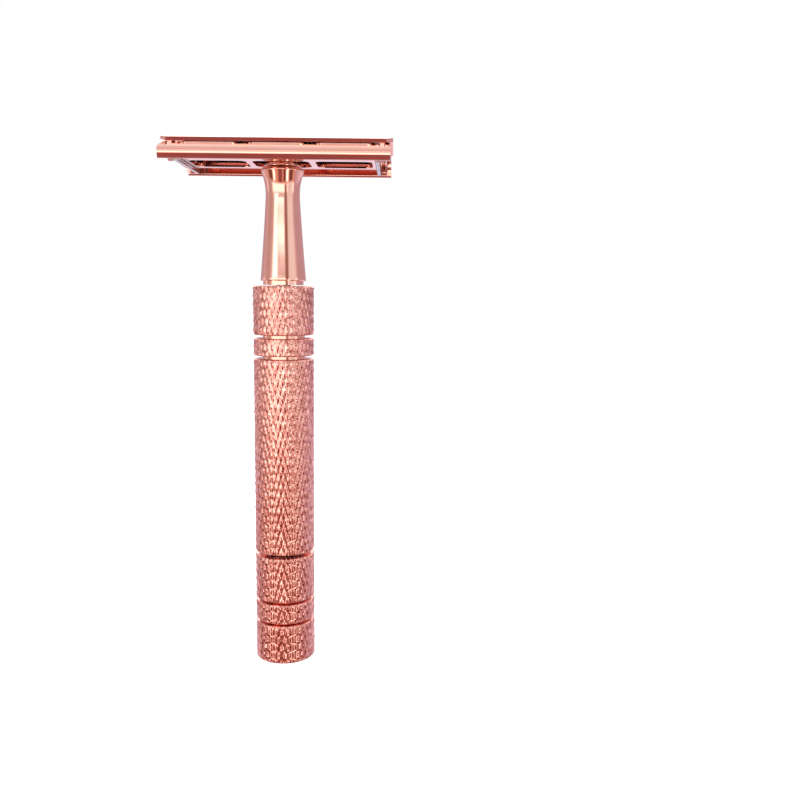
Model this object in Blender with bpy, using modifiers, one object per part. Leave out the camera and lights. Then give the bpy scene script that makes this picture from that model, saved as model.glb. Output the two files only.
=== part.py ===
"""Twist-to-open double-edge safety razor.

Metres, +Z up. The razor stands on the flat foot of its knob, with the origin at the centre of that foot.
X runs along the head, and the front door faces -Y.
"""

import math

import bmesh
import bpy
from mathutils import Matrix

MM = 0.001

# Clearances
FIT = 0.15 * MM  # between fixed neighbours in the head
TUBE_FIT = 0.2 * MM  # between nested round pieces of the handle
PIN_FIT = 0.12 * MM  # hinge pin in its hole
SLOT_FIT = 0.18 * MM  # drive pin in its slot, which also takes up the link's small error

# Handle
HANDLE_RADIUS = 6.05 * MM
GROOVE_DEPTH = 1.9 * MM
BAND_CHAMFER = 0.25 * MM
KNOB_BANDS = (7.7 * MM, 3.9 * MM, 9.05 * MM)  # foot to joint
KNOB_GROOVE = 0.5 * MM
JOINT_GAP = 0.7 * MM
BARREL_BANDS = (38.95 * MM, 3.4 * MM, 9.6 * MM)  # joint to neck
BARREL_GROOVE = 0.65 * MM
BARREL_BORE = 3.1 * MM
KNOB_BORE = 3.7 * MM
KNOB_ROOF = 2.0 * MM

# Inner train
ROD_RADIUS = 1.4 * MM
JOURNAL_RADIUS = 2.3 * MM
JOURNAL_LENGTH = 9.0 * MM
RING_THICKNESS = 0.6 * MM
WASHER_THICKNESS = 0.3 * MM
STOP_HEIGHT = 0.8 * MM
PLUG_HEIGHT = 1.4 * MM

# Neck
NECK_SPIGOT_LENGTH = 6.0 * MM
NECK_RECESS_HEIGHT = 0.95 * MM
NECK_RECESS_RADIUS = 3.95 * MM
NECK_BASE_RADIUS = 4.45 * MM
NECK_WAIST_RADIUS = 3.3 * MM
NECK_SHOULDER_RADIUS = 4.2 * MM
NECK_LENGTH = 21.6 * MM
NECK_BORE = 1.95 * MM
SHOULDER_ROUND = 0.55 * MM
FLARE_HEIGHT = 4.6 * MM  # from the shoulder down to the waist
FLARE_POWER = 2.2
TAPER_POWER = 1.15
BUSH_SEAT_DEPTH = 3.0 * MM
BUSH_WALL = 0.6 * MM
COLLAR_RADIUS = 3.55 * MM
COLLAR_CHAMFER = 0.2 * MM

# Head
HEAD_LENGTH = 42.0 * MM
HEAD_HALF_DEPTH = 12.3 * MM
BAR_THICKNESS = 0.9 * MM
BAR_DROP = 2.15 * MM  # from the arch's edge down to the bar's foot
ARCH_RADIUS = 28.0 * MM
SHELL = 0.65 * MM
SLOT_END_LAND = 3.2 * MM  # from the head's end to the first slot
SLOT_WEB = 1.7 * MM
SLOT_INNER = 8.5 * MM
SLOT_OUTER = 11.0 * MM
SLOT_COUNT = 3
TROUGH_HALF_WIDTH = 2.6 * MM
TROUGH_WALL = 0.6 * MM
TROUGH_DEPTH = 2.0 * MM
TRAY_RISE = 0.8 * MM  # tray's underside above the bars' feet
TRAY_HALF_WIDTH = 6.5 * MM
TRAY_WALL = 0.6 * MM
WINDOW_HALF_WIDTH = 4.2 * MM
WINDOW_WEB = 1.2 * MM
WINDOW_CORNER = 1.0 * MM
WINDOW_END = 0.6 * MM
CAP_THICKNESS = 1.0 * MM
CAP_RISE = 0.75 * MM  # cap's foot above the bars' feet
CAP_ARCH_HALF_WIDTH = 4.6 * MM
CAP_LAND = 0.5 * MM  # left between the foot's arch and the notch for the trough
CAP_STEP_DROP = 0.6 * MM  # from the arch down to the foot beside the pin bosses
CAP_BOSS_HALF_WIDTH = 1.1 * MM

# Doors
DOOR_THICKNESS = 0.65 * MM
DOOR_LENGTH = 42.8 * MM
DOOR_LIP = 9.3 * MM
DOOR_CORNER = 0.9 * MM
DOOR_SEAM = 0.2 * MM
EAR_THICKNESS = 0.8 * MM

# Door drive
PIVOT_DEPTH = 9.9 * MM
PIVOT_DROP = 1.75 * MM  # below the arch at the lip
PIN_RADIUS = 0.4 * MM
EYE_RADIUS = 0.9 * MM
DRIVE_REACH = 1.4 * MM  # pivot to drive pin, measured level
DRIVE_PIN_RADIUS = 0.22 * MM
DOOR_HALF_SWING = math.radians(36)
ARM_WALL = 0.3 * MM
STEM_ANGLE = math.radians(126)
STEM_HALF_WIDTH = 0.45 * MM
STEM_REACH = 3.2 * MM
YOKE_THICKNESS = 0.7 * MM
YOKE_HALF_HEIGHT = 0.55 * MM
YOKE_KNEE = 3.2 * MM
BEAM_HALF_WIDTH = 1.9 * MM
BEAM_HEIGHT = 1.2 * MM
LUG_RADIUS = 1.0 * MM
LUG_HEIGHT = 0.6 * MM
LUG_SPACING = 11.0 * MM
NUT_RADIUS = 2.3 * MM
NUT_HEIGHT = 0.45 * MM
NUT_BORE = 0.7 * MM

CUT_REACH = 3.0 * MM  # how far a cutter runs past what it cuts
ARC_STEPS = 12
ROUND_STEPS = 40
SMALL_STEPS = 28

# Levels worked out from the sizes above
KNOB_HEIGHT = sum(KNOB_BANDS) + 2 * KNOB_GROOVE
BARREL_FOOT = KNOB_HEIGHT + JOINT_GAP
BARREL_TOP = BARREL_FOOT + sum(BARREL_BANDS) + 2 * BARREL_GROOVE
NECK_FOOT = BARREL_TOP + NECK_RECESS_HEIGHT
NECK_TOP = NECK_FOOT + NECK_LENGTH
BAR_FOOT = NECK_TOP


def arch_drop(depth, radius=ARCH_RADIUS):
    """How far a round arch has fallen at this distance from its crown."""
    return radius - math.sqrt(radius * radius - depth * depth)


BAR_INNER = HEAD_HALF_DEPTH - BAR_THICKNESS
BAR_TOP = BAR_FOOT + BAR_DROP
CROWN = BAR_TOP + arch_drop(HEAD_HALF_DEPTH)
DOOR_CROWN = CROWN + FIT + DOOR_THICKNESS
PIVOT_Z = CROWN - arch_drop(DOOR_LIP) - PIVOT_DROP
DRIVE_RISE = DRIVE_REACH * math.tan(DOOR_HALF_SWING)
DRIVE_Z = PIVOT_Z - DRIVE_RISE
LIFT_TRAVEL = 2 * DRIVE_RISE
TROUGH_FLOOR = CROWN - TROUGH_DEPTH
COLLAR_TOP = TROUGH_FLOOR - TROUGH_WALL - FIT
CAP_INNER = HEAD_LENGTH / 2 - CAP_THICKNESS
EAR_OUTER = CAP_INNER - FIT
EAR_INNER = EAR_OUTER - EAR_THICKNESS
YOKE_OUTER = EAR_INNER - FIT
YOKE_INNER = YOKE_OUTER - YOKE_THICKNESS
SLOT_LENGTH = (HEAD_LENGTH - 2 * SLOT_END_LAND - (SLOT_COUNT - 1) * SLOT_WEB) / SLOT_COUNT
TRAY_FOOT = BAR_FOOT + TRAY_RISE
TRAY_END = YOKE_INNER - FIT
ROD_FOOT = PLUG_HEIGHT + 2 * TUBE_FIT
STOP_TOP = ROD_FOOT + STOP_HEIGHT
BEAM_FOOT = TROUGH_FLOOR + FIT
ROD_TOP = BEAM_FOOT + BEAM_HEIGHT

ROSE = (0.83, 0.50, 0.40)
DARK_ROSE = (0.62, 0.36, 0.29)
STEEL = (0.62, 0.62, 0.64)
BRASS = (0.72, 0.55, 0.26)


def clear_scene():
    for item in list(bpy.data.objects):
        bpy.data.objects.remove(item, do_unlink=True)


def new_collection(name):
    collection = bpy.data.collections.new(name)
    bpy.context.scene.collection.children.link(collection)
    return collection


def new_material(name, colour, roughness):
    material = bpy.data.materials.new(name)
    material.use_nodes = True
    shader = material.node_tree.nodes["Principled BSDF"]
    shader.inputs["Base Color"].default_value = (*colour, 1.0)
    shader.inputs["Metallic"].default_value = 1.0
    shader.inputs["Roughness"].default_value = roughness
    return material


clear_scene()
RAZOR = new_collection("safety_razor")
CUTTERS = new_collection("cutters")


def place(item, name, colour, roughness, collection=RAZOR):
    """Names an object, gives it its material and puts it in its collection."""
    item.name = name
    item.data.name = name
    for owner in list(item.users_collection):
        owner.objects.unlink(item)
    collection.objects.link(item)
    item.data.materials.clear()
    item.data.materials.append(new_material(name, colour, roughness))
    return item


def as_cutter(item):
    item.hide_render = True
    item.display_type = "WIRE"
    for owner in list(item.users_collection):
        owner.objects.unlink(item)
    CUTTERS.objects.link(item)
    return item


def mesh_object(name, mesh_builder):
    """An object from a function that fills a bmesh."""
    mesh = bpy.data.meshes.new(name)
    work = bmesh.new()
    mesh_builder(work)
    bmesh.ops.recalc_face_normals(work, faces=work.faces)
    work.to_mesh(mesh)
    work.free()
    item = bpy.data.objects.new(name, mesh)
    bpy.context.scene.collection.objects.link(item)
    return item


def box(name, low, high):
    """A box between two corners."""
    size = [high[axis] - low[axis] for axis in range(3)]
    middle = [(high[axis] + low[axis]) / 2 for axis in range(3)]

    def build(work):
        bmesh.ops.create_cube(work, size=1.0)
        bmesh.ops.scale(work, vec=size, verts=work.verts)
        bmesh.ops.translate(work, vec=middle, verts=work.verts)

    return mesh_object(name, build)


def rod_along_x(name, radius, start, end, depth, height, steps=20):
    """A round pin along X between two stations."""

    def build(work):
        bmesh.ops.create_cone(
            work,
            cap_ends=True,
            segments=steps,
            radius1=radius,
            radius2=radius,
            depth=abs(end - start),
            matrix=Matrix.Rotation(math.pi / 2, 4, "Y"),
        )
        bmesh.ops.translate(work, vec=((start + end) / 2, depth, height), verts=work.verts)

    return mesh_object(name, build)


def disc_up_z(name, radius, foot, top, centre_x=0.0, steps=SMALL_STEPS):
    """A round solid standing along Z."""

    def build(work):
        bmesh.ops.create_cone(
            work, cap_ends=True, segments=steps, radius1=radius, radius2=radius, depth=top - foot
        )
        bmesh.ops.translate(work, vec=(centre_x, 0, (foot + top) / 2), verts=work.verts)

    return mesh_object(name, build)


def turned(name, profile, steps=SMALL_STEPS):
    """A closed ring profile of (radius, height) turned about Z with a Screw modifier."""
    mesh = bpy.data.meshes.new(name)
    points = [(radius, 0.0, height) for radius, height in profile]
    edges = [(i, (i + 1) % len(points)) for i in range(len(points))]
    mesh.from_pydata(points, edges, [])
    item = bpy.data.objects.new(name, mesh)
    bpy.context.scene.collection.objects.link(item)
    screw = item.modifiers.new("Turn", "SCREW")
    screw.axis = "Z"
    screw.angle = 2 * math.pi
    screw.steps = steps
    screw.render_steps = steps
    screw.use_merge_vertices = True
    screw.merge_threshold = 1e-5
    return item


def outline_plate(name, outline, start, end):
    """A flat outline in the YZ plane, given as (depth, height), made solid from one X station to another."""

    def build(work):
        ring = [work.verts.new((start, depth, height)) for depth, height in outline]
        face = work.faces.new(ring)
        grown = bmesh.ops.extrude_face_region(work, geom=[face])
        moved = [part for part in grown["geom"] if isinstance(part, bmesh.types.BMVert)]
        bmesh.ops.translate(work, vec=(end - start, 0, 0), verts=moved)

    return mesh_object(name, build)


def boolean(item, other, operation):
    change = item.modifiers.new(operation.title(), "BOOLEAN")
    change.operation = operation
    change.solver = "EXACT"
    change.object = other
    return item


def cut(item, *cutters):
    for cutter in cutters:
        boolean(item, as_cutter(cutter), "DIFFERENCE")
    return item


def join(item, *others):
    for other in others:
        boolean(item, as_cutter(other), "UNION")
    return item


def bake(item):
    """Applies an object's modifiers, so that it can be cut or joined again cleanly."""
    bpy.context.view_layer.update()
    graph = bpy.context.evaluated_depsgraph_get()
    mesh = bpy.data.meshes.new_from_object(item.evaluated_get(graph))
    item.modifiers.clear()
    item.data = mesh
    return item


def smooth(item):
    item.data.shade_smooth()
    item.data.set_sharp_from_angle(angle=math.radians(32))
    return item


def banded_profile(foot, bands, groove, bore, roof=0.0):
    """Outer side top to bottom of a banded cylinder, then its bore. A roof narrows the top of the bore."""
    side = []
    level = foot
    for number, height in enumerate(bands):
        if number:
            level += groove
        side.append((HANDLE_RADIUS - BAND_CHAMFER, level))
        side.append((HANDLE_RADIUS, level + BAND_CHAMFER))
        side.append((HANDLE_RADIUS, level + height - BAND_CHAMFER))
        side.append((HANDLE_RADIUS - BAND_CHAMFER, level + height))
        level += height
        if number < len(bands) - 1:
            side.append((HANDLE_RADIUS - GROOVE_DEPTH, level))
            side.append((HANDLE_RADIUS - GROOVE_DEPTH, level + groove))
    side.reverse()
    if roof:
        return side + [(bore, foot), (bore, level - roof), (BARREL_BORE, level - roof), (BARREL_BORE, level)]
    return side + [(bore, foot), (bore, level)]


# Handle -----------------------------------------------------------------------------------------


def make_barrel():
    profile = banded_profile(BARREL_FOOT, BARREL_BANDS, BARREL_GROOVE, BARREL_BORE)
    barrel = smooth(turned("handle_barrel", profile, ROUND_STEPS))
    return place(barrel, "handle_barrel", ROSE, 0.25)


def make_knob():
    profile = banded_profile(0.0, KNOB_BANDS, KNOB_GROOVE, KNOB_BORE, KNOB_ROOF)
    return place(smooth(turned("twist_knob", profile, ROUND_STEPS)), "twist_knob", ROSE, 0.25)


def make_knob_inside():
    """The threaded sleeve with its journal, the plug under it, and what holds the journal in the barrel."""
    sleeve_outer = KNOB_BORE - TUBE_FIT
    sleeve_foot = STOP_TOP + LIFT_TRAVEL + 2 * TUBE_FIT
    sleeve_top = KNOB_HEIGHT - KNOB_ROOF - TUBE_FIT
    journal_top = BARREL_FOOT + JOURNAL_LENGTH
    bore = ROD_RADIUS + TUBE_FIT
    sleeve = turned(
        "knob_sleeve",
        [
            (JOURNAL_RADIUS, journal_top),
            (JOURNAL_RADIUS, sleeve_top),
            (sleeve_outer, sleeve_top),
            (sleeve_outer, sleeve_foot),
            (bore, sleeve_foot),
            (bore, journal_top),
        ],
    )
    place(smooth(sleeve), "knob_sleeve", BRASS, 0.35)
    plug = smooth(disc_up_z("knob_plug", KNOB_BORE - TUBE_FIT, 0.0, PLUG_HEIGHT))
    place(plug, "knob_plug", ROSE, 0.2)

    bush_top = journal_top - RING_THICKNESS - 2 * TUBE_FIT
    bush_outer = BARREL_BORE - TUBE_FIT
    bush = turned(
        "barrel_bush",
        [
            (bush_outer, bush_top),
            (bush_outer, BARREL_FOOT),
            (JOURNAL_RADIUS + TUBE_FIT, BARREL_FOOT),
            (JOURNAL_RADIUS + TUBE_FIT, bush_top),
        ],
    )
    place(smooth(bush), "barrel_bush", BRASS, 0.35)
    ring_foot = journal_top + TUBE_FIT
    ring = turned(
        "retaining_ring",
        [
            (bush_outer, ring_foot + RING_THICKNESS),
            (bush_outer, ring_foot),
            (bore + TUBE_FIT, ring_foot),
            (bore + TUBE_FIT, ring_foot + RING_THICKNESS),
        ],
    )
    place(smooth(ring), "retaining_ring", STEEL, 0.35)
    washer_foot = KNOB_HEIGHT + (JOINT_GAP - WASHER_THICKNESS) / 2
    washer = turned(
        "wave_washer",
        [
            (HANDLE_RADIUS - GROOVE_DEPTH, washer_foot + WASHER_THICKNESS),
            (HANDLE_RADIUS - GROOVE_DEPTH, washer_foot),
            (JOURNAL_RADIUS + TUBE_FIT, washer_foot),
            (JOURNAL_RADIUS + TUBE_FIT, washer_foot + WASHER_THICKNESS),
        ],
    )
    place(smooth(washer), "wave_washer", STEEL, 0.3)


def neck_outline():
    """The neck's polished side from its shoulder down to its foot, as a smooth run of points."""
    points = [(COLLAR_RADIUS - COLLAR_CHAMFER, NECK_TOP)]
    for step in range(5):
        angle = math.pi / 2 * (1 - step / 4)
        radius = NECK_SHOULDER_RADIUS - SHOULDER_ROUND * (1 - math.cos(angle))
        points.append((radius, NECK_TOP - SHOULDER_ROUND * (1 - math.sin(angle))))
    waist = NECK_TOP - SHOULDER_ROUND - FLARE_HEIGHT
    for step in range(1, 7):
        share = step / 6
        ease = (1 - share) ** FLARE_POWER
        radius = NECK_WAIST_RADIUS + (NECK_SHOULDER_RADIUS - NECK_WAIST_RADIUS) * ease
        points.append((radius, NECK_TOP - SHOULDER_ROUND - FLARE_HEIGHT * share))
    for step in range(1, 5):
        share = step / 4
        radius = NECK_WAIST_RADIUS + (NECK_BASE_RADIUS - NECK_WAIST_RADIUS) * share**TAPER_POWER
        points.append((radius, waist + (NECK_FOOT - waist) * share))
    return points


def make_neck():
    spigot = BARREL_BORE - TUBE_FIT
    spigot_foot = BARREL_TOP - NECK_SPIGOT_LENGTH
    seat = BARREL_TOP + TUBE_FIT
    bush_seat = NECK_TOP - BUSH_SEAT_DEPTH
    bush_bore = NECK_BORE + BUSH_WALL
    profile = neck_outline()
    profile += [(NECK_RECESS_RADIUS, NECK_FOOT), (NECK_RECESS_RADIUS, seat), (spigot, seat)]
    profile += [(spigot, spigot_foot), (NECK_BORE, spigot_foot), (NECK_BORE, bush_seat)]
    profile += [(bush_bore, bush_seat), (bush_bore, NECK_TOP)]
    place(smooth(turned("neck", profile, ROUND_STEPS)), "neck", ROSE, 0.08)
    bush = turned(
        "guide_bush",
        [
            (bush_bore - TUBE_FIT, NECK_TOP),
            (bush_bore - TUBE_FIT, bush_seat + TUBE_FIT),
            (ROD_RADIUS + TUBE_FIT, bush_seat + TUBE_FIT),
            (ROD_RADIUS + TUBE_FIT, NECK_TOP),
        ],
    )
    place(smooth(bush), "guide_bush", BRASS, 0.35)
    collar = turned(
        "neck_collar",
        [
            (COLLAR_RADIUS - COLLAR_CHAMFER, COLLAR_TOP),
            (COLLAR_RADIUS, COLLAR_TOP - COLLAR_CHAMFER),
            (COLLAR_RADIUS, NECK_TOP + FIT),
            (ROD_RADIUS + 2 * TUBE_FIT, NECK_TOP + FIT),
            (ROD_RADIUS + 2 * TUBE_FIT, COLLAR_TOP),
        ],
        ROUND_STEPS,
    )
    place(smooth(collar), "neck_collar", ROSE, 0.08)


def make_rod():
    """The lift rod, from its stop inside the knob up to the beam."""
    stop = turned(
        "rod_stop",
        [
            (KNOB_BORE - 3 * TUBE_FIT, STOP_TOP),
            (KNOB_BORE - 3 * TUBE_FIT, ROD_FOOT),
            (ROD_RADIUS + FIT, ROD_FOOT),
            (ROD_RADIUS + FIT, STOP_TOP),
        ],
    )
    place(smooth(stop), "rod_stop", STEEL, 0.35)
    rod = disc_up_z("lift_rod", ROD_RADIUS, ROD_FOOT, ROD_TOP)
    place(smooth(rod), "lift_rod", STEEL, 0.3)


# Head -------------------------------------------------------------------------------------------


def arc_points(radius, crown, start, end, steps=ARC_STEPS):
    """Points (depth, height) along an arch of this radius whose top is at crown."""
    points = []
    for step in range(steps + 1):
        depth = start + (end - start) * step / steps
        points.append((depth, crown - arch_drop(depth, radius)))
    return points


def base_outline():
    """Cross-section of the arched channel with its trough, from the front bar to the rear bar."""
    under_radius = ARCH_RADIUS - SHELL
    under_crown = CROWN - SHELL
    rib = TROUGH_HALF_WIDTH + TROUGH_WALL
    top = arc_points(ARCH_RADIUS, CROWN, -HEAD_HALF_DEPTH, -TROUGH_HALF_WIDTH)
    top += [(-TROUGH_HALF_WIDTH, TROUGH_FLOOR), (TROUGH_HALF_WIDTH, TROUGH_FLOOR)]
    top += arc_points(ARCH_RADIUS, CROWN, TROUGH_HALF_WIDTH, HEAD_HALF_DEPTH)
    bottom = [(HEAD_HALF_DEPTH, BAR_FOOT), (BAR_INNER, BAR_FOOT)]
    bottom += arc_points(under_radius, under_crown, BAR_INNER, rib)
    bottom += [(rib, TROUGH_FLOOR - TROUGH_WALL), (-rib, TROUGH_FLOOR - TROUGH_WALL)]
    bottom += arc_points(under_radius, under_crown, -rib, -BAR_INNER)
    bottom += [(-BAR_INNER, BAR_FOOT), (-HEAD_HALF_DEPTH, BAR_FOOT)]
    return top + bottom


def make_tray():
    """The open box under the arch: two side walls and a floor, which the windows are cut in."""
    inner = TRAY_HALF_WIDTH - TRAY_WALL
    floor = TRAY_FOOT + TRAY_WALL
    top = CROWN - arch_drop(TRAY_HALF_WIDTH) - SHELL / 2
    right = [(TRAY_HALF_WIDTH, TRAY_FOOT), (TRAY_HALF_WIDTH, top), (inner, top), (inner, floor)]
    left = [(-depth, height) for depth, height in reversed(right)]
    return outline_plate("tray", right + left, -EAR_INNER, EAR_INNER)


def window_cutter(start, end):
    """A window in the tray's floor, with round corners in plan."""
    size = (end - start, 2 * WINDOW_HALF_WIDTH, 4 * TRAY_WALL)

    def build(work):
        bmesh.ops.create_cube(work, size=1.0)
        bmesh.ops.scale(work, vec=size, verts=work.verts)
        upright = [edge for edge in work.edges if abs(edge.verts[0].co.z - edge.verts[1].co.z) > MM]
        bmesh.ops.bevel(work, geom=upright, offset=WINDOW_CORNER, segments=4, profile=0.5, affect="EDGES")
        bmesh.ops.translate(work, vec=((start + end) / 2, 0, TRAY_FOOT), verts=work.verts)

    return mesh_object("window", build)


def make_base():
    half = HEAD_LENGTH / 2
    base = join(outline_plate("head_base", base_outline(), -half, half), make_tray())
    pitch = SLOT_LENGTH + SLOT_WEB
    high = CROWN + MM
    cutters = []
    for side in (-1, 1):
        near, far = sorted((side * SLOT_INNER, side * SLOT_OUTER))
        for number in range(SLOT_COUNT):
            centre = (number - (SLOT_COUNT - 1) / 2) * pitch
            start = centre - SLOT_LENGTH / 2
            cutters.append(box("slot", (start, near, BAR_FOOT), (start + SLOT_LENGTH, far, high)))
        reach = PIVOT_DEPTH - DRIVE_REACH + YOKE_HALF_HEIGHT + 2 * FIT
        yoke_in, yoke_out = sorted((side * (YOKE_INNER - FIT), side * EAR_INNER))
        cutters.append(box("yoke_notch", (yoke_in, -reach, BAR_FOOT), (yoke_out, reach, high)))
        ear_in, ear_out = sorted((side * (EAR_INNER - FIT), side * CAP_INNER))
        width = BAR_INNER - FIT
        cutters.append(box("ear_notch", (ear_in, -width, BAR_FOOT), (ear_out, width, high + MM)))
    window_length = (2 * (TRAY_END - WINDOW_END) - (SLOT_COUNT - 1) * WINDOW_WEB) / SLOT_COUNT
    for number in range(SLOT_COUNT):
        start = WINDOW_END - TRAY_END + number * (window_length + WINDOW_WEB)
        cutters.append(window_cutter(start, start + window_length))
    cutters.append(disc_up_z("rod_hole", ROD_RADIUS + TUBE_FIT, TROUGH_FLOOR - MM, CROWN))
    bake(cut(base, *cutters))
    return place(smooth(base), "head_base", ROSE, 0.1)


def make_end_caps():
    """Plates that close the channel's ends under the arch, with holes for the hinge pins."""
    edge = BAR_INNER - FIT
    under = arc_points(ARCH_RADIUS - SHELL - FIT, CROWN - SHELL - FIT, -edge, edge, 2 * ARC_STEPS)
    rib = TROUGH_HALF_WIDTH + TROUGH_WALL + FIT
    rib_foot = TROUGH_FLOOR - TROUGH_WALL - FIT
    foot = BAR_FOOT + CAP_RISE
    for side, name in ((-1, "end_cap_left"), (1, "end_cap_right")):
        start, end = sorted((side * (CAP_INNER + FIT), side * HEAD_LENGTH / 2))
        outline = [(-edge, foot)] + under + [(edge, foot)]
        cap = outline_plate(name, outline, start, end)
        arch = CAP_ARCH_HALF_WIDTH
        step = PIVOT_DEPTH - CAP_BOSS_HALF_WIDTH
        arch_top = rib_foot - CAP_LAND
        step_top = arch_top - CAP_STEP_DROP
        cutters = [
            box("rib_notch", (start - MM, -rib, rib_foot), (end + MM, rib, CROWN)),
            box("foot_notch", (start - MM, -arch, foot - CUT_REACH), (end + MM, arch, arch_top)),
            box("step_notch", (start - MM, -step, BAR_FOOT - CUT_REACH), (end + MM, step, step_top)),
        ]
        for depth in (-PIVOT_DEPTH, PIVOT_DEPTH):
            hole = rod_along_x("pin_hole", PIN_RADIUS + PIN_FIT, start - MM, end + MM, depth, PIVOT_Z)
            cutters.append(hole)
        bake(cut(cap, *cutters))
        place(smooth(cap), name, ROSE, 0.12)


def make_hinge_pins():
    for side, end_name in ((-1, "left"), (1, "right")):
        start = side * (EAR_INNER + 0.5 * FIT)
        end = side * (HEAD_LENGTH / 2 - FIT)
        for depth, door_name in ((-PIVOT_DEPTH, "front"), (PIVOT_DEPTH, "rear")):
            name = f"{door_name}_{end_name}_pin"
            pin = rod_along_x(name, PIN_RADIUS, *sorted((start, end)), depth, PIVOT_Z)
            place(smooth(pin), name, STEEL, 0.25)


# Doors ------------------------------------------------------------------------------------------


def door_shell(name):
    """The curved plate of the rear door, with its lower corners cut off in plan."""
    under_crown = CROWN + FIT
    inner = DOOR_SEAM / 2
    top = arc_points(ARCH_RADIUS + DOOR_THICKNESS, under_crown + DOOR_THICKNESS, inner, DOOR_LIP)
    lip_under = DOOR_LIP * ARCH_RADIUS / (ARCH_RADIUS + DOOR_THICKNESS)
    under = arc_points(ARCH_RADIUS, under_crown, lip_under, inner)
    half = DOOR_LENGTH / 2
    shell = outline_plate(name, top + under, -half, half)
    cutters = []
    for side in (-1, 1):
        corner = box(
            "corner",
            (-DOOR_CORNER, -DOOR_CORNER, -CUT_REACH),
            (DOOR_CORNER, DOOR_CORNER, CUT_REACH),
        )
        corner.data.transform(Matrix.Rotation(math.pi / 4, 4, "Z"))
        corner.data.transform(Matrix.Translation((side * half, DOOR_LIP, CROWN)))
        cutters.append(corner)
    return cut(shell, *cutters)


def round_end(centre, radius, start_angle, end_angle, steps=10):
    points = []
    for step in range(steps + 1):
        angle = start_angle + (end_angle - start_angle) * step / steps
        points.append((centre[0] + radius * math.cos(angle), centre[1] + radius * math.sin(angle)))
    return points


def polar(centre, distance, angle):
    return (centre[0] + distance * math.cos(angle), centre[1] + distance * math.sin(angle))


def ear_plates(start, end):
    """One ear of the rear door: the eye round the pin, the stem up to the door and the slotted drive arm."""
    pivot = (PIVOT_DEPTH, PIVOT_Z)
    drive_angle = math.pi + DOOR_HALF_SWING
    near = DRIVE_REACH
    far = DRIVE_REACH / math.cos(DOOR_HALF_SWING)
    slot_half = DRIVE_PIN_RADIUS + SLOT_FIT
    arm_half = slot_half + ARM_WALL
    turn = math.pi / 2
    arm = round_end(polar(pivot, far, drive_angle), arm_half, drive_angle - turn, drive_angle + turn)
    arm += round_end(pivot, arm_half, drive_angle + turn, drive_angle + 3 * turn)
    slot = round_end(polar(pivot, far, drive_angle), slot_half, drive_angle - turn, drive_angle + turn)
    slot += round_end(polar(pivot, near, drive_angle), slot_half, drive_angle + turn, drive_angle + 3 * turn)
    stem_foot = [polar(pivot, STEM_HALF_WIDTH, STEM_ANGLE + way * turn) for way in (-1, 1)]
    stem_top = [polar(point, STEM_REACH, STEM_ANGLE) for point in reversed(stem_foot)]
    ear = outline_plate("ear", arm, start, end)
    eye = rod_along_x("eye", EYE_RADIUS, start, end, *pivot, steps=24)
    stem = outline_plate("stem", stem_foot + stem_top, start, end)
    join(ear, eye, stem)
    hole = rod_along_x("eye_hole", PIN_RADIUS + PIN_FIT, start - MM, end + MM, *pivot)
    slot_cutter = outline_plate("drive_slot", slot, start - MM, end + MM)
    return bake(cut(ear, hole, slot_cutter))


def make_doors():
    shell = door_shell("rear_door")
    above = arc_points(ARCH_RADIUS + DOOR_THICKNESS / 2, CROWN + FIT + DOOR_THICKNESS / 2, 0, PIVOT_DEPTH)
    above += [(PIVOT_DEPTH, CROWN + CUT_REACH), (0, CROWN + CUT_REACH)]
    ears = []
    for side in (-1, 1):
        start, end = sorted((side * EAR_INNER, side * EAR_OUTER))
        ear = ear_plates(start, end)
        trim = outline_plate("trim", above, start - MM, end + MM)
        ears.append(bake(cut(ear, trim)))
    bake(join(shell, *ears))
    pivot = (0, PIVOT_DEPTH, PIVOT_Z)
    shell.data.transform(Matrix.Translation([-value for value in pivot]))
    shell.location = pivot
    place(smooth(shell), "rear_door", ROSE, 0.12)
    front = bpy.data.objects.new("front_door", shell.data.copy())
    bpy.context.scene.collection.objects.link(front)
    front.data.transform(Matrix.Rotation(math.pi, 4, "Z"))
    front.location = (0, -PIVOT_DEPTH, PIVOT_Z)
    place(front, "front_door", ROSE, 0.12)


# Lift ------------------------------------------------------------------------------------------


def make_beam():
    """The rising bar in the trough, with the round lugs that locate a blade."""
    end = YOKE_INNER - FIT
    beam = box(
        "lift_beam",
        (-end, -BEAM_HALF_WIDTH, BEAM_FOOT),
        (end, BEAM_HALF_WIDTH, BEAM_FOOT + BEAM_HEIGHT),
    )
    lug_top = BEAM_FOOT + BEAM_HEIGHT + LUG_HEIGHT
    lugs = []
    for side in (-1, 1):
        lug = disc_up_z("lug", LUG_RADIUS, BEAM_FOOT + BEAM_HEIGHT / 2, lug_top, side * LUG_SPACING, 24)
        lugs.append(lug)
    hole = disc_up_z("rod_seat", ROD_RADIUS + FIT, BEAM_FOOT - MM, BEAM_FOOT + 2 * BEAM_HEIGHT)
    join(beam, *lugs)
    bake(cut(beam, hole))
    place(smooth(beam), "lift_beam", DARK_ROSE, 0.2)
    nut = turned(
        "beam_nut",
        [
            (NUT_RADIUS, ROD_TOP + FIT + NUT_HEIGHT),
            (NUT_RADIUS, ROD_TOP + FIT),
            (NUT_BORE, ROD_TOP + FIT),
            (NUT_BORE, ROD_TOP + FIT + NUT_HEIGHT),
        ],
        6,
    )
    place(nut, "beam_nut", STEEL, 0.3)


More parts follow.
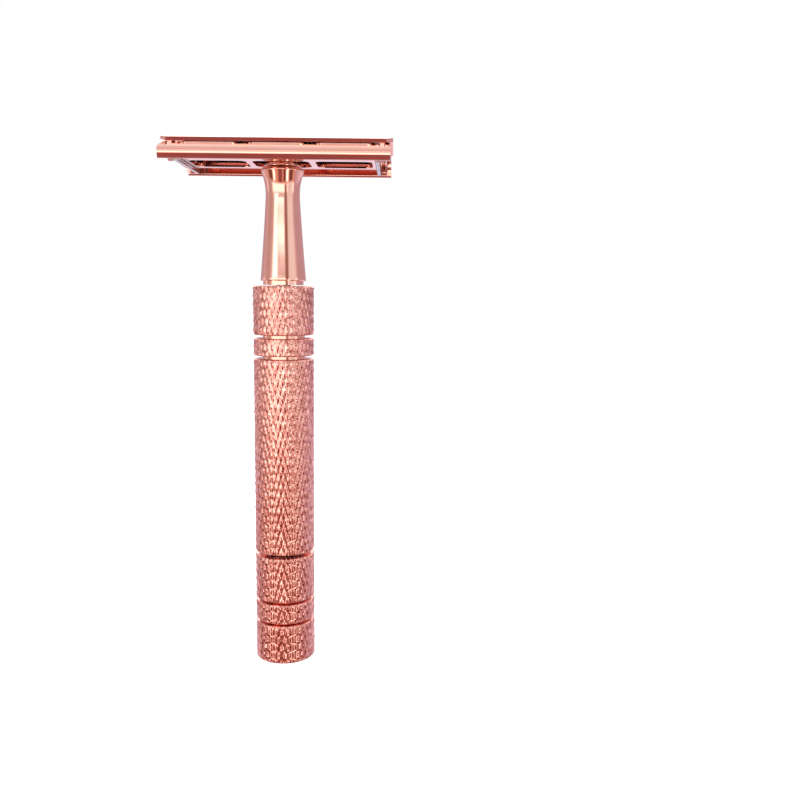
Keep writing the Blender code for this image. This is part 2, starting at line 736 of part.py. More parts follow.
def make_yokes():
    """End plates of the lift, with drive pins that reach into the doors' slots."""
    reach = PIVOT_DEPTH - DRIVE_REACH
    top = BEAM_FOOT + BEAM_HEIGHT
    half = YOKE_HALF_HEIGHT
    right = [(reach + half, DRIVE_Z - half), (reach + half, DRIVE_Z + half), (YOKE_KNEE, top), (0, top)]
    left = [(-depth, height) for depth, height in reversed(right[:-1])]
    foot = [(-YOKE_KNEE, DRIVE_Z - half), (YOKE_KNEE, DRIVE_Z - half)]
    outline = right + left + foot
    for side, name in ((-1, "lift_yoke_left"), (1, "lift_yoke_right")):
        start, end = sorted((side * YOKE_INNER, side * YOKE_OUTER))
        yoke = outline_plate(name, outline, start, end)
        root, tip = sorted((side * (YOKE_INNER + FIT), side * (EAR_OUTER - FIT)))
        pins = []
        for depth in (-reach, reach):
            pins.append(rod_along_x("drive_pin", DRIVE_PIN_RADIUS, root, tip, depth, DRIVE_Z, 16))
        bake(join(yoke, *pins))
        place(smooth(yoke), name, STEEL, 0.3)


make_barrel()
make_knob()
make_knob_inside()
make_neck()
make_rod()
make_base()
make_end_caps()
make_hinge_pins()
make_doors()
make_beam()
make_yokes()
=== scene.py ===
"""Looks of a twist-to-open safety razor: knurled handle, polished neck and head, studio and camera."""

import math
from random import Random

import bmesh
import bpy
import numpy as np
from mathutils import Matrix, Vector


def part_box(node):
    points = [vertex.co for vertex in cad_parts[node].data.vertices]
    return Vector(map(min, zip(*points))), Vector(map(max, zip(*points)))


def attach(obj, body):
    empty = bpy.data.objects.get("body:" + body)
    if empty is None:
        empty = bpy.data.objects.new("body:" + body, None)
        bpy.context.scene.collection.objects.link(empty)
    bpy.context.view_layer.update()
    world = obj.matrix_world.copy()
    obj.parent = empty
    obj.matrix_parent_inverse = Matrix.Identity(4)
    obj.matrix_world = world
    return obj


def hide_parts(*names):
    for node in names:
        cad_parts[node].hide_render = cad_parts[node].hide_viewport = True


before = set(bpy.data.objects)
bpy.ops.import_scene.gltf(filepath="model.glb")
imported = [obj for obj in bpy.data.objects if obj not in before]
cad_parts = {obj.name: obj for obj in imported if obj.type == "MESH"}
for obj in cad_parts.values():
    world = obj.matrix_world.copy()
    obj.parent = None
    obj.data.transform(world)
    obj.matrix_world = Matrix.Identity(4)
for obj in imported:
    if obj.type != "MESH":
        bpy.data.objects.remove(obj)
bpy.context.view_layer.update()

MM = 0.001

# Places read from the frame
BARREL_LOW, BARREL_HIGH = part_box("handle_barrel")
KNOB_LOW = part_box("twist_knob")[0]
NECK_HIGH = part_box("neck")[1]
COLLAR_LOW, COLLAR_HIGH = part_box("neck_collar")
BASE_LOW, BASE_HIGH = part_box("head_base")

# Handle
HANDLE_RADIUS = BARREL_HIGH.x
GROOVE_DEPTH = 1.9 * MM
GROOVE_RADIUS = HANDLE_RADIUS - GROOVE_DEPTH
BAND_CHAMFER = 0.32 * MM
BARREL_BANDS = (38.95 * MM, 3.4 * MM, 9.6 * MM)
BARREL_GROOVE = 0.65 * MM
KNOB_BANDS = (7.7 * MM, 3.9 * MM, 9.05 * MM)
KNOB_GROOVE = 0.5 * MM
BARREL_BORE = 3.1 * MM
KNOB_BORE = 3.7 * MM
KNOB_ROOF = 2.0 * MM
BAND_SUNK = 0.3 * MM  # how far a band reaches into the core
CORE_INSET = 0.05 * MM  # core's ends behind the bands' ends

# Knurl
KNURL_AROUND = 38
KNURL_HEIGHT = 3.27 * MM  # one diamond, along the handle
KNURL_DEPTH = 0.25 * MM
KNURL_UNEVEN = 0.22  # share of a point's height that it may lack
KNURL_FINENESS = 4


# Mesh helpers ------------------------------------------------------------------------------------


def new_object(name, mesh):
    item = bpy.data.objects.new(name, mesh)
    bpy.context.scene.collection.objects.link(item)
    return item


def mesh_from(name, points, faces):
    mesh = bpy.data.meshes.new(name)
    mesh.from_pydata([tuple(point) for point in points], [], [tuple(face) for face in faces])
    mesh.update()
    return new_object(name, mesh)


def smooth(item, degrees=35.0):
    item.data.shade_smooth()
    item.data.set_sharp_from_angle(angle=math.radians(degrees))
    return item


def soften(profile, radius, steps=4):
    """Rounds each corner of a closed profile, as far as its two sides allow."""
    rounded = []
    count = len(profile)
    for index in range(count):
        corner = Vector(profile[index])
        before = Vector(profile[index - 1]) - corner
        after = Vector(profile[(index + 1) % count]) - corner
        if before.angle(after) > math.radians(160):
            rounded.append(tuple(corner))
            continue
        reach = min(radius, before.length * 0.45, after.length * 0.45)
        start = corner + before.normalized() * reach
        end = corner + after.normalized() * reach
        for step in range(steps + 1):
            share = step / steps
            point = start * (1 - share) ** 2 + corner * 2 * share * (1 - share) + end * share**2
            rounded.append(tuple(point))
    return rounded


def revolve(name, profile, steps=128):
    """A closed profile of (radius, height) turned about the handle's axis."""
    points = []
    for step in range(steps):
        angle = 2 * math.pi * step / steps
        for radius, height in profile:
            points.append((radius * math.cos(angle), radius * math.sin(angle), height))
    count = len(profile)
    faces = []
    for step in range(steps):
        here = step * count
        there = (step + 1) % steps * count
        for index in range(count):
            after = (index + 1) % count
            faces.append((here + index, here + after, there + after, there + index))
    item = mesh_from(name, points, faces)
    face_out(item)
    return item


def face_out(item):
    work = bmesh.new()
    work.from_mesh(item.data)
    bmesh.ops.recalc_face_normals(work, faces=work.faces)
    work.to_mesh(item.data)
    work.free()


def joined(name, items):
    """One object from several, each still a closed body."""
    work = bmesh.new()
    for item in items:
        work.from_mesh(item.data)
    mesh = bpy.data.meshes.new(name)
    work.to_mesh(mesh)
    work.free()
    for item in items:
        bpy.data.objects.remove(item)
    return new_object(name, mesh)


def apply_modifiers(item):
    bpy.context.view_layer.update()
    graph = bpy.context.evaluated_depsgraph_get()
    mesh = bpy.data.meshes.new_from_object(item.evaluated_get(graph))
    item.modifiers.clear()
    item.data = mesh
    return item


def bevelled(item, width, segments=3, degrees=38.0):
    bevel = item.modifiers.new("Edges", "BEVEL")
    bevel.width = width
    bevel.segments = segments
    bevel.limit_method = "ANGLE"
    bevel.angle_limit = math.radians(degrees)
    bevel.use_clamp_overlap = True
    return apply_modifiers(item)


def level_shading(item, degrees):
    """Smooth shading in which each flat face stays flat and only the rounded edges turn."""
    smooth(item, degrees)
    weighted = item.modifiers.new("Shading", "WEIGHTED_NORMAL")
    weighted.mode = "FACE_AREA"
    weighted.keep_sharp = True
    return apply_modifiers(item)


def subtract(item, cutter):
    change = item.modifiers.new("Cut", "BOOLEAN")
    change.operation = "DIFFERENCE"
    change.object = cutter
    apply_modifiers(item)
    bpy.data.objects.remove(cutter)
    return item


def refined(node, width):
    """A CAD node's own shape with its edges rounded."""
    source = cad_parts[node]
    item = new_object(node + "_finished", source.data.copy())
    work = bmesh.new()
    work.from_mesh(item.data)
    bmesh.ops.remove_doubles(work, verts=work.verts, dist=1e-6)
    bmesh.ops.dissolve_limit(work, angle_limit=math.radians(0.3), verts=work.verts, edges=work.edges)
    work.to_mesh(item.data)
    work.free()
    bevelled(item, width)
    return level_shading(item, 50.0)


# Materials ---------------------------------------------------------------------------------------


def nodes_of(name):
    material = bpy.data.materials.new(name)
    material.use_nodes = True
    tree = material.node_tree
    return material, tree, tree.nodes["Principled BSDF"]


def noise(tree, scale, detail, stretch=(1, 1, 1)):
    """Noise in the object's own space, stretched along an axis where asked."""
    place = tree.nodes.new("ShaderNodeTexCoord")
    mapping = tree.nodes.new("ShaderNodeMapping")
    mapping.inputs["Scale"].default_value = stretch
    texture = tree.nodes.new("ShaderNodeTexNoise")
    texture.inputs["Scale"].default_value = scale
    texture.inputs["Detail"].default_value = detail
    tree.links.new(place.outputs["Object"], mapping.inputs["Vector"])
    tree.links.new(mapping.outputs["Vector"], texture.inputs["Vector"])
    return texture.outputs["Fac"]


def ramp(tree, value, low, high, start=0.3, end=0.7):
    """Maps a grey value to a range of numbers."""
    change = tree.nodes.new("ShaderNodeMapRange")
    change.inputs["From Min"].default_value = start
    change.inputs["From Max"].default_value = end
    change.inputs["To Min"].default_value = low
    change.inputs["To Max"].default_value = high
    tree.links.new(value, change.inputs["Value"])
    return change.outputs["Result"]


def blended(tree, factor, first, second):
    mix = tree.nodes.new("ShaderNodeMix")
    mix.data_type = "RGBA"
    mix.inputs["A"].default_value = (*first, 1)
    mix.inputs["B"].default_value = (*second, 1)
    tree.links.new(factor, mix.inputs["Factor"])
    return mix.outputs["Result"]


def metal(name, colour, darker_tone_and_shade, roughness, bump=0.02, grain=9000.0, stretch=(1, 1, 1), patch=160.0):
    """A metal whose tone and gloss vary slightly at random, with a fine surface grain; where the second
    colour is much darker, as on the knurl, its patches are painted shade.
    """
    material, tree, shader = nodes_of(name)
    shader.inputs["Metallic"].default_value = 1.0
    tone_and_shade_patches = noise(tree, patch, 3.0)
    tone = blended(tree, ramp(tree, tone_and_shade_patches, 0.0, 1.0), colour, darker_tone_and_shade)
    tree.links.new(tone, shader.inputs["Base Color"])
    smears = noise(tree, 420.0, 4.0, stretch)
    gloss = ramp(tree, smears, roughness[0], roughness[1])
    tree.links.new(gloss, shader.inputs["Roughness"])
    fine = noise(tree, grain, 2.0, stretch)
    relief = tree.nodes.new("ShaderNodeBump")
    relief.inputs["Strength"].default_value = bump
    relief.inputs["Distance"].default_value = 0.02 * MM
    tree.links.new(fine, relief.inputs["Height"])
    tree.links.new(relief.outputs["Normal"], shader.inputs["Normal"])
    return material


POLISHED = metal("polished_rose_gold", (0.93, 0.54, 0.44), (0.90, 0.50, 0.40), (0.05, 0.1), 0.015)
# Knurl: its much darker second colour, spread in random spots about a facet wide, is painted shade for
# facets that reflect dark surroundings.
KNURLED = metal(
    "knurled_rose_gold", (1.0, 0.56, 0.48), (0.50, 0.17, 0.14), (0.04, 0.12), 0.04, 9000.0, (1, 1, 1), 1100.0
)
GROOVED = metal(
    "turned_rose_gold", (0.92, 0.52, 0.41), (0.88, 0.46, 0.35), (0.1, 0.18), 0.05, 6000.0, (1, 1, 8)
)
BRASS = metal("turned_brass", (0.72, 0.50, 0.22), (0.62, 0.42, 0.17), (0.25, 0.4), 0.08, 6000.0, (1, 1, 8))
STEEL = metal("satin_steel", (0.62, 0.62, 0.64), (0.52, 0.52, 0.55), (0.22, 0.36), 0.06, 7000.0, (8, 1, 1))


def dress(item, material):
    item.data.materials.clear()
    item.data.materials.append(material)
    return item


def finish_piece(item, material, body, slot, *nodes):
    dress(item, material)
    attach(item, body)
    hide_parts(*nodes)
    return item


# Handle ------------------------------------------------------------------------------------------


def knurl_height(u, v):
    """Height of the knurl, 0 in the grooves and 1 on a point, where u and v count the two helices."""
    across_u = 1 - np.abs(2 * (u - np.floor(u)) - 1)
    across_v = 1 - np.abs(2 * (v - np.floor(v)) - 1)
    ridge = np.minimum(across_u, across_v)
    return 1 - (1 - ridge) ** 1.25


def knurl_band(name, low, high):
    """A closed ring of diamond knurl between two heights, with chamfered ends."""
    fine = KNURL_FINENESS
    around = 2 * fine * KNURL_AROUND
    row_height = KNURL_HEIGHT / (2 * fine)
    first = math.floor(low / row_height) - 1
    last = math.ceil(high / row_height) + 1
    random = Random(KNURL_AROUND)
    points = []
    index = {}
    for row in range(first, last + 1):
        for column in range(row % 2, around, 2):
            u = (column + row) / (2 * fine)
            v = (column - row) / (2 * fine)
            angle = math.pi * column / (fine * KNURL_AROUND)
            uneven = 1 - KNURL_UNEVEN * random.random()
            radius = HANDLE_RADIUS - KNURL_DEPTH * (1 - uneven * float(knurl_height(u, v)))
            index[(row, column)] = len(points)
            points.append((radius * math.cos(angle), radius * math.sin(angle), row * row_height))
    faces = []
    for row in range(first + 1, last):
        for column in range((row + 1) % 2, around, 2):
            left = index[(row, (column - 1) % around)]
            right = index[(row, (column + 1) % around)]
            faces.append((left, index[(row - 1, column)], right, index[(row + 1, column)]))
    band = mesh_from(name, points, faces)
    work = bmesh.new()
    work.from_mesh(band.data)
    for height, outward in ((low, -1), (high, 1)):
        bmesh.ops.bisect_plane(
            work,
            geom=work.verts[:] + work.edges[:] + work.faces[:],
            plane_co=(0, 0, height),
            plane_no=(0, 0, outward),
            clear_outer=True,
            dist=1e-7,
        )
        for inset in (BAND_CHAMFER, BAND_CHAMFER / 2):
            bmesh.ops.bisect_plane(
                work,
                geom=work.verts[:] + work.edges[:] + work.faces[:],
                plane_co=(0, 0, height - outward * inset),
                plane_no=(0, 0, outward),
                dist=1e-7,
            )
    for vert in work.verts:
        from_end = min(vert.co.z - low, high - vert.co.z)
        limit = HANDLE_RADIUS - max(0.0, BAND_CHAMFER - from_end)
        radius = math.hypot(vert.co.x, vert.co.y)
        if radius > limit:
            vert.co.x *= limit / radius
            vert.co.y *= limit / radius
    inner = GROOVE_RADIUS - BAND_SUNK
    rims = [edge for edge in work.edges if edge.is_boundary]
    grown = bmesh.ops.extrude_edge_only(work, edges=rims)
    moved = [part for part in grown["geom"] if isinstance(part, bmesh.types.BMVert)]
    for vert in moved:
        radius = math.hypot(vert.co.x, vert.co.y)
        vert.co.x *= inner / radius
        vert.co.y *= inner / radius
    rims = [edge for edge in work.edges if edge.is_boundary]
    bmesh.ops.bridge_loops(work, edges=rims)
    bmesh.ops.recalc_face_normals(work, faces=work.faces)
    work.to_mesh(band.data)
    work.free()
    return smooth(band, 60.0)


def banded(name, foot, bands, groove, bore, roof_bore=None, roof=0.0):
    """Knurled bands on a smooth turned core that shows in the grooves between them."""
    pieces = []
    level = foot
    for number, height in enumerate(bands):
        pieces.append(knurl_band(f"{name}_band_{number}", level, level + height))
        level += height + groove
    top = level - groove
    core_top = top - CORE_INSET
    core_foot = foot + CORE_INSET
    core = [(GROOVE_RADIUS, core_top), (GROOVE_RADIUS, core_foot), (bore, core_foot)]
    if roof:
        core += [(bore, top - roof), (roof_bore, top - roof), (roof_bore, core_top)]
    else:
        core.append((bore, core_top))
    core_piece = revolve(f"{name}_core", core, 96)
    smooth(core_piece, 35.0)
    item = joined(name, pieces + [core_piece])
    item.data.materials.append(KNURLED)
    item.data.materials.append(GROOVED)
    for face in item.data.polygons:
        inside = max(math.hypot(*item.data.vertices[i].co[:2]) for i in face.vertices)
        if inside < GROOVE_RADIUS + CORE_INSET:
            face.material_index = 1
    return item


def make_handle():
    barrel = banded("knurled_barrel", BARREL_LOW.z, BARREL_BANDS, BARREL_GROOVE, BARREL_BORE)
    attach(barrel, "handle")
    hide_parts("handle_barrel")
    knob = banded("knurled_knob", KNOB_LOW.z, KNOB_BANDS, KNOB_GROOVE, KNOB_BORE, BARREL_BORE, KNOB_ROOF)
    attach(knob, "knob")
    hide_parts("twist_knob")


# Neck --------------------------------------------------------------------------------------------

NECK_WAIST = 3.3 * MM
NECK_SHOULDER = 4.2 * MM
NECK_BASE = NECK_HIGH.x
NECK_RECESS = 3.95 * MM
NECK_BORE = 1.95 * MM
SHOULDER_ROUND = 0.55 * MM
FLARE_HEIGHT = 4.6 * MM
FLARE_POWER = 2.2
TAPER_POWER = 1.15
BUSH_WALL = 0.6 * MM
NECK_SEAT = 0.2 * MM  # above the barrel
NECK_RECESS_HEIGHT = 0.95 * MM
NECK_EDGE = 0.12 * MM
COLLAR_COVER = 0.4 * MM  # collar over the neck's top land
COLLAR_BORE = 1.8 * MM
COLLAR_ROUND = 0.25 * MM


def make_neck():
    top = NECK_HIGH.z
    seat = BARREL_HIGH.z + NECK_SEAT
    foot = BARREL_HIGH.z + NECK_RECESS_HEIGHT
    waist = top - SHOULDER_ROUND - FLARE_HEIGHT
    profile = [(NECK_BORE + BUSH_WALL, top), (COLLAR_HIGH.x - COLLAR_COVER, top)]
    for step in range(9):
        angle = math.pi / 2 * (1 - step / 8)
        radius = NECK_SHOULDER - SHOULDER_ROUND * (1 - math.cos(angle))
        profile.append((radius, top - SHOULDER_ROUND * (1 - math.sin(angle))))
    for step in range(1, 17):
        share = step / 16
        radius = NECK_WAIST + (NECK_SHOULDER - NECK_WAIST) * (1 - share) ** FLARE_POWER
        profile.append((radius, top - SHOULDER_ROUND - FLARE_HEIGHT * share))
    for step in range(1, 24):
        share = step / 24
        radius = NECK_WAIST + (NECK_BASE - NECK_WAIST) * share**TAPER_POWER
        profile.append((radius, waist + (foot - waist) * share))
    edge = NECK_EDGE
    profile.append((NECK_BASE, foot + edge))
    profile.append((NECK_BASE - 0.3 * edge, foot + 0.3 * edge))
    profile.append((NECK_BASE - edge, foot))
    profile += [(NECK_RECESS, foot), (NECK_RECESS, seat), (NECK_BORE, seat)]
    neck = revolve("polished_neck", profile, 160)
    finish_piece(smooth(neck, 30.0), POLISHED, "handle", "polished_rose_gold", "neck")
    collar_profile = [
        (COLLAR_HIGH.x, COLLAR_HIGH.z),
        (COLLAR_HIGH.x, COLLAR_LOW.z),
        (COLLAR_BORE, COLLAR_LOW.z),
        (COLLAR_BORE, COLLAR_HIGH.z),
    ]
    collar = revolve("polished_collar", soften(collar_profile, COLLAR_ROUND), 128)
    finish_piece(smooth(collar, 30.0), POLISHED, "handle", "polished_rose_gold", "neck_collar")


# Head --------------------------------------------------------------------------------------------

CROWN = BASE_HIGH.z
HALF_LENGTH = BASE_HIGH.x
HALF_DEPTH = BASE_HIGH.y
BAR_FOOT = BASE_LOW.z
ARCH_RADIUS = 28 * MM
SHELL = 0.65 * MM
BAR_THICKNESS = 0.9 * MM
FIT = 0.15 * MM
TROUGH_HALF_WIDTH = 2.6 * MM
TROUGH_WALL = 0.6 * MM
TROUGH_DEPTH = 2.0 * MM
SLOT_INNER = 8.5 * MM
SLOT_OUTER = 11.0 * MM
SLOT_WEB = 1.7 * MM
SLOT_END_LAND = 3.2 * MM
TRAY_FOOT = BAR_FOOT + 0.8 * MM
TRAY_HALF_WIDTH = 6.5 * MM
TRAY_WALL = 0.6 * MM
WINDOW_HALF_WIDTH = 4.2 * MM
WINDOW_WEB = 1.2 * MM
WINDOW_END = 0.6 * MM
CAP_INNER = HALF_LENGTH - 1.0 * MM
EAR_INNER = CAP_INNER - 0.95 * MM
YOKE_INNER = EAR_INNER - 0.85 * MM
BAR_BOW = 0.14 * MM
BAR_FOOT_ROUND = 0.42 * MM
ARCH_END = 0.1 * MM  # where the arch meets the bar's bowed face
TRAY_ROUND = 0.22 * MM
SLOT_CORNER = 1.1 * MM
WINDOW_CORNER = 1.4 * MM
NOTCH_CORNER = 0.1 * MM
YOKE_REACH = 9.35 * MM
SLOT_CUT_RISE = 0.5 * MM  # slots and end notches are cut from here up, above the bars' feet
ROD_HOLE = 1.6 * MM


def arch_height(depth, radius=ARCH_RADIUS, crown=CROWN):
    return crown - radius + math.sqrt(radius * radius - depth * depth)


def arch(radius, crown, start, end, steps=28):
    run = []
    for step in range(steps + 1):
        depth = start + (end - start) * step / steps
        run.append((depth, arch_height(depth, radius, crown)))
    return run


def extrude(name, outline, start, end):
    """An outline of (depth, height) made solid along the head."""
    count = len(outline)
    points = [(start, *point) for point in outline] + [(end, *point) for point in outline]
    faces = [tuple(range(count)), tuple(range(2 * count - 1, count - 1, -1))]
    for index in range(count):
        after = (index + 1) % count
        faces.append((index, index + count, after + count, after))
    item = mesh_from(name, points, faces)
    face_out(item)
    return item


def rounded_cutter(name, low, high, corner, segments=6):
    """A box to cut with, whose upright edges are round."""
    size = [high[axis] - low[axis] for axis in range(3)]
    middle = [(high[axis] + low[axis]) / 2 for axis in range(3)]
    work = bmesh.new()
    bmesh.ops.create_cube(work, size=1.0)
    bmesh.ops.scale(work, vec=size, verts=work.verts)
    upright = [edge for edge in work.edges if abs(edge.verts[0].co.z - edge.verts[1].co.z) > size[2] / 2]
    bmesh.ops.bevel(work, geom=upright, offset=corner, segments=segments, profile=0.5, affect="EDGES")
    bmesh.ops.translate(work, vec=middle, verts=work.verts)
    mesh = bpy.data.meshes.new(name)
    work.to_mesh(mesh)
    work.free()
    return new_object(name, mesh)


def round_cutter(name, radius, low, high):
    work = bmesh.new()
    bmesh.ops.create_cone(work, cap_ends=True, segments=48, radius1=radius, radius2=radius, depth=high - low)
    bmesh.ops.translate(work, vec=(0, 0, (low + high) / 2), verts=work.verts)
    mesh = bpy.data.meshes.new(name)
    work.to_mesh(mesh)
    work.free()
    return new_object(name, mesh)


def bar_side():
    """The rear bar's outer face, slightly bowed, then its round foot and its inner face."""
    top = arch_height(HALF_DEPTH)
    bow = BAR_BOW
    run = []
    foot_round = BAR_FOOT_ROUND
    low = BAR_FOOT + foot_round
    for step in range(15):
        share = step / 14
        lean = 2 * share - 0.85
        run.append((HALF_DEPTH - bow * lean * lean, top + (low - top) * share))
    edge = run[-1][0]
    for step in range(1, 9):
        angle = math.pi / 2 * step / 8
        run.append((edge - foot_round * (1 - math.cos(angle)), low - foot_round * math.sin(angle)))
    inner = HALF_DEPTH - BAR_THICKNESS
    inner_round = edge - foot_round - inner
    for step in range(1, 7):
        angle = math.pi / 2 * step / 6
        run.append((inner + inner_round * (1 - math.sin(angle)), low - foot_round * math.cos(angle)))
    return run


def make_base():
    """The arched channel, its tray with three windows, its slots and its two bars."""
    inner = HALF_DEPTH - BAR_THICKNESS
    rib = TROUGH_HALF_WIDTH + TROUGH_WALL
    floor = CROWN - TROUGH_DEPTH
    right = [(TROUGH_HALF_WIDTH, floor)]
    right += arch(ARCH_RADIUS, CROWN, TROUGH_HALF_WIDTH, HALF_DEPTH - ARCH_END)
    right += bar_side()
    right += arch(ARCH_RADIUS - SHELL, CROWN - SHELL, inner, rib)
    right += [(rib, floor - TROUGH_WALL)]
    left = [(-depth, height) for depth, height in reversed(right)]
    base = extrude("base", right + left, -HALF_LENGTH, HALF_LENGTH)
    side = TRAY_HALF_WIDTH - TRAY_WALL
    top = arch_height(TRAY_HALF_WIDTH) - SHELL / 2
    floor_top = TRAY_FOOT + TRAY_WALL
    half_tray = [(TRAY_HALF_WIDTH, TRAY_FOOT), (TRAY_HALF_WIDTH, top), (side, top), (side, floor_top)]
    tray_outline = half_tray + [(-depth, height) for depth, height in reversed(half_tray)]
    tray = extrude("tray", soften(tray_outline, TRAY_ROUND), -EAR_INNER, EAR_INNER)
    change = base.modifiers.new("Join", "BOOLEAN")
    change.operation = "UNION"
    change.object = tray
    apply_modifiers(base)
    bpy.data.objects.remove(tray)
    low = BAR_FOOT + SLOT_CUT_RISE
    high = CROWN + 1 * MM
    slot_length = (2 * HALF_LENGTH - 2 * SLOT_END_LAND - 2 * SLOT_WEB) / 3
    cutters = []
    for number in range(3):
        start = -HALF_LENGTH + SLOT_END_LAND + number * (slot_length + SLOT_WEB)
        for near, far in ((-SLOT_OUTER, -SLOT_INNER), (SLOT_INNER, SLOT_OUTER)):
            slot_low = (start, near, low)
            slot_high = (start + slot_length, far, high)
            cutters.append(rounded_cutter("slot", slot_low, slot_high, SLOT_CORNER))
    tray_end = YOKE_INNER - FIT
    window_length = (2 * (tray_end - WINDOW_END) - 2 * WINDOW_WEB) / 3
    for number in range(3):
        start = WINDOW_END - tray_end + number * (window_length + WINDOW_WEB)
        window_low = (start, -WINDOW_HALF_WIDTH, BAR_FOOT)
        window_high = (start + window_length, WINDOW_HALF_WIDTH, TRAY_FOOT + MM)
        cutters.append(rounded_cutter("window", window_low, window_high, WINDOW_CORNER, 8))
    for way in (-1, 1):
        x_low, x_high = sorted((way * (YOKE_INNER - FIT), way * EAR_INNER))
        notch_low = (x_low, -YOKE_REACH, BAR_FOOT)
        notch_high = (x_high, YOKE_REACH, high)
        cutters.append(rounded_cutter("yoke_notch", notch_low, notch_high, NOTCH_CORNER, 1))
        x_low, x_high = sorted((way * (EAR_INNER - FIT), way * CAP_INNER))
        width = inner - FIT
        notch_low = (x_low, -width, low)
        notch_high = (x_high, width, high + MM)
        cutters.append(rounded_cutter("ear_notch", notch_low, notch_high, NOTCH_CORNER, 1))
    cutters.append(round_cutter("rod_hole", ROD_HOLE, floor - MM, CROWN))
    for cutter in cutters:
        subtract(base, cutter)
    return base


def make_head():
    base = make_base()
    bevelled(base, 0.07 * MM, 2, 50.0)
    level_shading(base, 50.0)
    finish_piece(base, POLISHED, "handle", "polished_rose_gold", "head_base")
    for node in ("end_cap_left", "end_cap_right"):
        piece = refined(node, 0.08 * MM)
        finish_piece(piece, POLISHED, "handle", "polished_rose_gold", node)
    for node in ("front_door", "rear_door"):
        piece = refined(node, 0.12 * MM)
        finish_piece(piece, POLISHED, node, "polished_rose_gold", node)
    for node in ("lift_beam", "lift_yoke_left", "lift_yoke_right", "beam_nut"):
        piece = refined(node, 0.08 * MM)
        finish_piece(piece, STEEL, "lift", "steel", node)
    plug = refined("knob_plug", 0.2 * MM)
    finish_piece(plug, POLISHED, "knob", "polished_rose_gold", "knob_plug")


def dress_the_rest():
    """Inner pieces keep their CAD shape and take a finished material."""
    for node in ("knob_sleeve", "barrel_bush", "guide_bush"):
        dress(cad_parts[node], BRASS)
    steel = ("retaining_ring", "wave_washer", "rod_stop", "lift_rod")
    pins = ("front_left_pin", "front_right_pin", "rear_left_pin", "rear_right_pin")
    for node in steel + pins:
        dress(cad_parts[node], STEEL)


# Studio ------------------------------------------------------------------------------------------


def make_floor():
    side = 3.0
    corners = [(-side, -side, 0), (side, -side, 0), (side, side, 0), (-side, side, 0)]
    floor = mesh_from("floor", corners, [(0, 1, 2, 3)])
    material, tree, shader = nodes_of("pale_floor")
    shader.inputs["Roughness"].default_value = 0.9
    shader.inputs["Specular IOR Level"].default_value = 0.1
    tone = blended(tree, ramp(tree, noise(tree, 6.0, 2.0), 0.0, 1.0), (0.93, 0.93, 0.93), (0.9, 0.9, 0.9))
    tree.links.new(tone, shader.inputs["Base Color"])
    shader.inputs["Emission Color"].default_value = (1, 1, 1, 1)
    shader.inputs["Emission Strength"].default_value = 0.35
    floor.data.materials.append(material)
    floor.visible_glossy = False


def maths(tree, operation, *values):
    node = tree.nodes.new("ShaderNodeMath")
    node.operation = operation
    for socket, value in zip(node.inputs, values):
        if isinstance(value, (int, float)):
            socket.default_value = value
        else:
            tree.links.new(value, socket)
    return node.outputs["Value"]


def step_up(tree, value, middle, softness):
    """0 below the middle and 1 above it, with a soft edge."""
    change = tree.nodes.new("ShaderNodeMapRange")
    change.interpolation_type = "SMOOTHSTEP"
    change.inputs["From Min"].default_value = middle - softness
    change.inputs["From Max"].default_value = middle + softness
    tree.links.new(value, change.inputs["Value"])
    return change.outputs["Result"]


def colour_ramp(tree, value, stops):
    """Colours along a value from 0 to 1."""
    change = tree.nodes.new("ShaderNodeValToRGB")
    colours = change.color_ramp
    while len(colours.elements) > 1:
        colours.elements.remove(colours.elements[-1])
    for number, (place, colour) in enumerate(stops):
        element = colours.elements.new(place) if number else colours.elements[0]
        element.position = place
        element.color = (*colour, 1)
    tree.links.new(value, change.inputs["Fac"])
    return change.outputs["Color"]


def panel(tree, under, turn, height, turns, heights, colour, softness=(4.0, 1.5)):
    """Lays one softbox or flag, given in degrees, over what the studio already shows."""
    mask = step_up(tree, turn, turns[0], softness[0])
    right = maths(tree, "SUBTRACT", 1.0, step_up(tree, turn, turns[1], softness[0]))
    low = step_up(tree, height, heights[0], softness[1])
    high = maths(tree, "SUBTRACT", 1.0, step_up(tree, height, heights[1], softness[1]))
    mask = maths(tree, "MULTIPLY", maths(tree, "MULTIPLY", mask, right), maths(tree, "MULTIPLY", low, high))
    mix = tree.nodes.new("ShaderNodeMix")
    mix.data_type = "RGBA"
    mix.clamp_factor = True
    mix.inputs["B"].default_value = (*colour, 1)
    tree.links.new(mask, mix.inputs["Factor"])
    tree.links.new(under, mix.inputs["A"])
    return mix.outputs["Result"]


